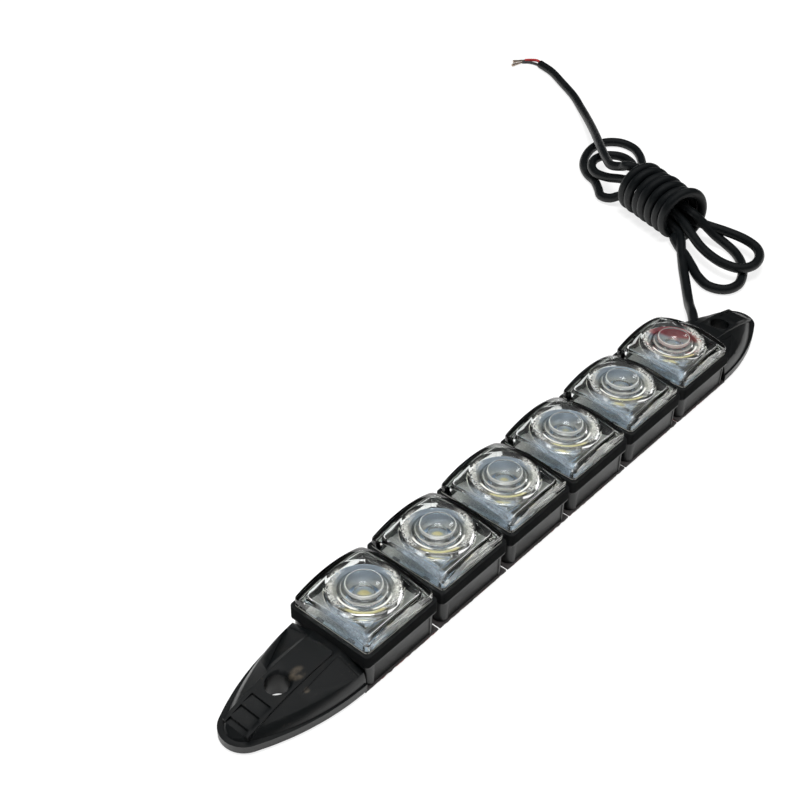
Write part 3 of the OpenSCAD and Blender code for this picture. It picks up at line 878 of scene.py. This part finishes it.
class GeometryTree(Nodes):
    """A Geometry Nodes tree with a material and other named inputs."""

    def __init__(self, name, **inputs):
        super().__init__(bpy.data.node_groups.new(name, "GeometryNodeTree"))
        face = self.tree.interface
        face.new_socket(name="Geometry", in_out="OUTPUT", socket_type="NodeSocketGeometry")
        for label, kind in {"Material": "Material", **inputs}.items():
            face.new_socket(name=label, in_out="INPUT", socket_type=f"NodeSocket{kind}")
        self.entry = self.tree.nodes.new("NodeGroupInput")

    def given(self, name):
        return Value(self, self.entry.outputs[name])

    def vector(self, **parts):
        return self.node("ShaderNodeCombineXYZ", None, parts)

    def close(self, geometry):
        """Ends the tree in real geometry with its material."""
        real = self.node("GeometryNodeRealizeInstances", None, [geometry])
        material = self.given("Material")
        dressed = self.node("GeometryNodeSetMaterial", None, {"Geometry": real, "Material": material})
        self.plug(self.tree.nodes.new("NodeGroupOutput").inputs["Geometry"], dressed)
        return self.tree

    @staticmethod
    def grow(tree, name, values):
        """Runs the tree once and returns the plain mesh."""
        seed = placed(name, bpy.data.meshes.new(name))
        modifier = seed.modifiers.new(name, "NODES")
        modifier.node_group = tree
        items = tree.interface.items_tree
        sockets = {item.name: item.identifier for item in items if item.in_out == "INPUT"}
        for label, value in values.items():
            modifier[sockets[label]] = value
        view = bpy.context.evaluated_depsgraph_get()
        mesh = bpy.data.meshes.new_from_object(seed.evaluated_get(view))
        seed.modifiers.remove(modifier)
        bpy.data.objects.remove(seed)
        mesh.name = name
        return mesh


def strand_tree():
    """Twisted bare strands: thin rods round a circle, turned more the further they reach."""
    build = GeometryTree("bare strands", Length="Float", Strand="Float", Bundle="Float", Count="Int",
                         Twist="Float")
    reach = build.given("Length")
    ring = build.node("GeometryNodeMeshCircle", None, {
        "Vertices": build.given("Count"), "Radius": build.given("Bundle")})
    rod = build.node("GeometryNodeMeshCylinder", {"fill_type": "TRIANGLE_FAN"}, {
        "Vertices": 8, "Side Segments": 14, "Radius": build.given("Strand"), "Depth": reach})
    lifted = build.node("GeometryNodeTransform", None, {
        "Geometry": rod, "Translation": build.vector(Z=reach * 0.5)})
    bundle = build.node("GeometryNodeInstanceOnPoints", None, {"Points": ring, "Instance": lifted})
    real = build.node("GeometryNodeRealizeInstances", None, [bundle])
    place = build.node("GeometryNodeInputPosition")
    along = build.node("ShaderNodeSeparateXYZ", None, [place]).part("Z") / reach
    turned = build.node("ShaderNodeVectorRotate", {"rotation_type": "Z_AXIS"}, {
        "Vector": place, "Angle": along * build.given("Twist")})
    spread = along * along * 0.9 + 1.0
    wider = build.vector(X=spread, Y=spread, Z=1.0)
    fanned = build.node("ShaderNodeVectorMath", {"operation": "MULTIPLY"}, [turned, wider])
    return build.close(build.node("GeometryNodeSetPosition", None, {"Geometry": real, "Position": fanned}))


def ribbon_tree():
    """A flat web with a round wire along each edge, laid along X."""
    build = GeometryTree("ribbon", Length="Float", Width="Float", Web="Float", Wire="Float")
    long, wide, thick = build.given("Length"), build.given("Width"), build.given("Wire")
    web = build.node("GeometryNodeMeshCube", None, {
        "Size": build.vector(X=long, Y=wide, Z=build.given("Web")),
        "Vertices X": 18, "Vertices Y": 6, "Vertices Z": 2})
    line = build.node("GeometryNodeCurvePrimitiveLine", None, {
        "Start": build.vector(X=long * -0.5), "End": build.vector(X=long * 0.5)})
    fine = build.node("GeometryNodeResampleCurve", None, {"Curve": line, "Count": 18})
    profile = build.node("GeometryNodeCurvePrimitiveCircle", None, {
        "Resolution": 16, "Radius": thick * 0.5})
    wire = build.node("GeometryNodeCurveToMesh", None, {
        "Curve": fine, "Profile Curve": profile, "Fill Caps": True})
    side = (wide - thick) * 0.5
    join = build.node("GeometryNodeJoinGeometry", None, [web])
    for place in (side, side * -1.0):
        edge = build.node("GeometryNodeTransform", None, {
            "Geometry": wire, "Translation": build.vector(Y=place)})
        build.plug(join.socket.node.inputs[0], edge)
    return build.close(join)


# Operators, one for each group of pieces


# The table's glow for the camera, and its place under the part
TABLE_GLOW = 1.12
TABLE_GLOW_SHARE = 0.7
TABLE_DROP = -0.02 * MM

# The light from above starts and ends at these heights of a ray's direction, and is weaker in gloss
SKY_EDGE = (0.68, 0.84)
SKY_IN_GLOSS = 0.4

# Places and sizes of the two lamps, in metres
KEY_LAMP = ((-0.06, -0.03, 0.85), 0.34)
SIDE_LAMP = ((-0.5, 0.45, 0.5), 0.25)


class Stage(bpy.types.Operator):
    """Camera, table and soft studio light"""
    bl_idname = "drl.stage"
    bl_label = "Stage"

    def execute(self, context):
        look = context.scene.drl_stage
        self.camera(context, look)
        self.table(look)
        self.light(context, look)
        context.scene.view_settings.view_transform = "Standard"
        return {"FINISHED"}

    def camera(self, context, look):
        data = bpy.data.cameras.new("camera")
        data.lens = look.lens
        data.sensor_width = 36
        data.clip_start, data.clip_end = 0.01, 10
        camera = placed("camera", data)
        ahead = Vector((-math.sin(look.azimuth) * math.cos(look.elevation),
                        math.cos(look.azimuth) * math.cos(look.elevation), -math.sin(look.elevation)))
        level = Vector((math.cos(look.azimuth), math.sin(look.azimuth), 0))
        above = level.cross(ahead)
        right = level * math.cos(look.roll) + above * math.sin(look.roll)
        up = above * math.cos(look.roll) - level * math.sin(look.roll)
        turned = Matrix((right, up, -ahead)).transposed().to_4x4()
        camera.matrix_world = Matrix.Translation(Vector(look.target) - ahead * look.distance) @ turned
        context.scene.camera = camera

    def table(self, look):
        """A plain table that the camera sees a little brighter than it is."""
        paint = Paint("table_top")
        paint.set(Base_Color=tuple(look.floor), Roughness=0.6)
        glow = paint.node("ShaderNodeEmission", None, {"Strength": TABLE_GLOW})
        paint.blend(paint.node("ShaderNodeLightPath").part("Is Camera Ray") * TABLE_GLOW_SHARE, glow)
        bm = bmesh.new()
        bmesh.ops.create_grid(bm, x_segments=8, y_segments=8, size=3)
        mesh = finished(bm, "table")
        mesh.transform(Matrix.Translation((0, 0, TABLE_DROP)))
        put("table", mesh, paint.material)

    def light(self, context, look):
        """White to the camera, and to all else a soft light from above in a dim room."""
        world = bpy.data.worlds.new("studio")
        context.scene.world = world
        world.use_nodes = True
        nodes = Nodes(world.node_tree)
        sky = nodes.tree.nodes["Background"]
        sky.inputs["Color"].default_value = (1, 1, 1, 1)
        rays = nodes.node("ShaderNodeLightPath")
        towards = nodes.node("ShaderNodeTexCoord").part("Generated")
        height = nodes.node("ShaderNodeSeparateXYZ", None, [towards]).part("Z")
        studio = height.ramp(*SKY_EDGE) * (look.sky - look.room) + look.room
        studio = studio * (1 - rays.part("Is Glossy Ray") * (1 - SKY_IN_GLOSS))
        seen = rays.part("Is Camera Ray")
        nodes.plug(sky.inputs["Strength"], seen + (1 - seen) * studio)
        for name, (place, size), power in (
                ("key", KEY_LAMP, look.key), ("side", SIDE_LAMP, look.side_lamp)):
            lamp = bpy.data.lights.new(name, "AREA")
            lamp.shape = "DISK"
            lamp.size = size
            lamp.energy = power
            holder = placed(name, lamp)
            holder.location = place
            holder.rotation_euler = (-Vector(place)).to_track_quat("-Z", "Y").to_euler()
            holder.visible_glossy = False


class Cord(bpy.types.Operator):
    """Supply cord with its hank, the two leads and their bare strands"""
    bl_idname = "drl.cord"
    bl_label = "Cord"

    def execute(self, context):
        look = context.scene.drl_cord
        body = f"module_{LAST}"
        line = tube("cord", flowing(cord_route()), look.diameter)
        nodes = ["cord_lead", "cord_loops_near", "cord_wraps", "cord_loops_far", "cord_tail"]
        cord = put("cord", line, jacket_finish(), body, nodes)
        metal = strand_metal()
        tree = strand_tree()
        pieces = []
        wires = (("red", RED_ROUTE, tuple(look.red)), ("black", BLACK_ROUTE, BLACK_PLASTIC))
        for name, route, tone in wires:
            points = beside_cap(route)
            line = tube(f"lead_{name}_wire", flowing(points, 0.5 * MM), LEAD_DIAMETER)
            lead = put(line.name, line, insulation(name, tone), body, [f"lead_{name}"])
            pieces += [lead, self.strands(name, points[-1], tree, metal, body)]
        return {"FINISHED"}

    def strands(self, name, start, tree, metal, body):
        """Bare strands that reach from the end of a lead towards its CAD tip."""
        mesh = GeometryTree.grow(tree, f"strands_{name}", {
            "Material": metal, "Length": 5 * MM, "Strand": 0.11 * MM, "Bundle": 0.2 * MM,
            "Count": 6, "Twist": 2.5})
        ahead = (box_centre(f"tip_{name}") - start).normalized()
        turn = ahead.to_track_quat("Z", "Y").to_matrix().to_4x4()
        mesh.transform(Matrix.Translation(start - ahead * STRANDS_INSIDE) @ turn)
        return put(f"strands_{name}", smooth(mesh), metal, body, [f"tip_{name}"])


class Lenses(bpy.types.Operator):
    """Clear lens of each module"""
    bl_idname = "drl.lenses"
    bl_label = "Lenses"

    def execute(self, context):
        clear, skin_with_reflections = clear_plastic(), frosted_skin()
        lens, skin = lens_mesh(), skin_mesh()
        for k in MODULES:
            for name, pattern, material, nodes in (
                    (f"clear_lens_{k}", lens, clear, [f"lens_{k}"]),
                    (f"funnel_skin_{k}", skin, skin_with_reflections, [])):
                mesh = moved(pattern, (MODULE_X[k], 0, 0), name)
                put(name, mesh, material, f"module_{k}", nodes)
        for spare in (lens, skin):
            bpy.data.meshes.remove(spare)
        return {"FINISHED"}


def dress(node, material):
    """Gives a CAD node its material."""
    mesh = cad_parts[node].data
    mesh.materials.clear()
    mesh.materials.append(material)


class Boards(bpy.types.Operator):
    """Circuit board and light source in each module"""
    bl_idname = "drl.boards"
    bl_label = "Boards and light sources"

    def execute(self, context):
        board, lamp = board_finish(), lamp_finish()
        for k in MODULES:
            dress(f"board_{k}", board)
            dress(f"led_{k}", lamp)
        dress("supply_wire_red", insulation("red_supply", SUPPLY_RED))
        dress("supply_wire_black", insulation("black_supply", BLACK_PLASTIC))
        return {"FINISHED"}


class Housings(bpy.types.Operator):
    """Black base of each module and the two end caps"""
    bl_idname = "drl.housings"
    bl_label = "Bases and caps"

    def execute(self, context):
        look = context.scene.drl_housing
        black = housing_plastic()
        parts = [(f"moulded_base_{k}", f"base_{k}", f"module_{k}") for k in MODULES]
        parts += [("moulded_cap_near", "near_end_cap", "module_1"),
                  ("moulded_cap_far", "far_end_cap", f"module_{LAST}")]
        for name, node, body in parts:
            mesh = smooth(solid_copy(node, name))
            rounded(put(name, mesh, black, body, [node]), look.edge)
        return {"FINISHED"}


# Waves of the torn edge in a metre
FRAY_WAVES = 900


class Tapes(bpy.types.Operator):
    """Adhesive foam pad with its red liner under each module"""
    bl_idname = "drl.tapes"
    bl_label = "Adhesive pads"

    def execute(self, context):
        look = context.scene.drl_tape
        material = tape_finish()
        for k in MODULES:
            name = f"foam_pad_{k}"
            mesh = self.pad(name, k, look.reach, look.fray)
            put(name, mesh, material, f"module_{k}", [f"tape_{k}"])
        return {"FINISHED"}

    def pad(self, name, k, reach, fray):
        """A flat pad whose cut edges wander a little."""
        low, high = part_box(f"tape_{k}")
        columns, rows, layers = 44, 40, 3
        bm = bmesh.new()
        grid = {}
        for layer in range(layers + 1):
            for column in range(columns + 1):
                for row in range(rows + 1):
                    if 0 < layer < layers and 0 < column < columns and 0 < row < rows:
                        continue
                    shares = Vector((column / columns, row / rows, layer / layers))
                    place = low + (high - low) * shares
                    if row in (0, rows):
                        wander = noise.noise(Vector((place.x * FRAY_WAVES, layer * 2.3 + k, row)))
                        place.y += (reach + wander * fray) * (1 if row else -1)
                    grid[column, row, layer] = bm.verts.new(place)

        def skin(across, up, at):
            """Faces over one side: at gives the grid's key from the steps across and up."""
            for i in range(across):
                for j in range(up):
                    bm.faces.new([grid[at(i + a, j + b)] for a, b in ((0, 0), (1, 0), (1, 1), (0, 1))])

        for end in (0, 1):
            skin(columns, rows, lambda i, j: (i, j, end * layers))
            skin(columns, layers, lambda i, j: (i, end * rows, j))
            skin(rows, layers, lambda i, j: (end * columns, i, j))
        bmesh.ops.recalc_face_normals(bm, faces=bm.faces)
        return smooth(finished(bm, name))


class Ribbons(bpy.types.Operator):
    """Flat two-wire ribbon between the modules"""
    bl_idname = "drl.ribbons"
    bl_label = "Ribbons"

    def execute(self, context):
        look = context.scene.drl_ribbon
        material = ribbon_finish()
        tree = ribbon_tree()
        for k in MODULES[:-1]:
            node = f"link_{k}"
            low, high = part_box(node)
            mesh = GeometryTree.grow(tree, f"ribbon_{k}", {
                "Material": material, "Length": high.x - low.x, "Width": look.width - look.wire,
                "Web": look.web, "Wire": look.wire})
            mesh.transform(Matrix.Translation((low + high) / 2))
            piece = put(f"ribbon_{k}", smooth(mesh), material, None, [node])
            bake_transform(piece)
        return {"FINISHED"}


class Sidebar(bpy.types.Panel):
    """Lists the steps that dress the lamp"""
    bl_idname = "DRL_PT_steps"
    bl_label = "Running light"
    bl_space_type = "VIEW_3D"
    bl_region_type = "UI"
    bl_category = "Running light"

    def draw(self, context):
        for step in STEPS:
            self.layout.operator(step.bl_idname)
        for name in SETTINGS:
            group = getattr(context.scene, name)
            for key in group.bl_rna.properties.keys():
                if key not in ("rna_type", "name"):
                    self.layout.prop(group, key)


STEPS = (Stage, Cord, Lenses, Boards, Housings, Tapes, Ribbons)
SETTINGS = {
    "drl_stage": StageSettings, "drl_housing": HousingSettings, "drl_lens": LensSettings,
    "drl_board": BoardSettings, "drl_tape": TapeSettings, "drl_cord": CordSettings,
    "drl_ribbon": RibbonSettings}


def register():
    for group in SETTINGS.values():
        bpy.utils.register_class(group)
    for name, group in SETTINGS.items():
        setattr(bpy.types.Scene, name, PointerProperty(type=group))
    for step in STEPS:
        bpy.utils.register_class(step)
    bpy.utils.register_class(Sidebar)


def unregister():
    bpy.utils.unregister_class(Sidebar)
    for step in reversed(STEPS):
        bpy.utils.unregister_class(step)
    for name, group in SETTINGS.items():
        delattr(bpy.types.Scene, name)
        bpy.utils.unregister_class(group)


def main():
    register()
    bpy.ops.drl.stage()
    bpy.ops.drl.cord()
    bpy.ops.drl.lenses()
    bpy.ops.drl.boards()
    bpy.ops.drl.housings()
    bpy.ops.drl.tapes()
    bpy.ops.drl.ribbons()


if __name__ == "__main__":
    main()
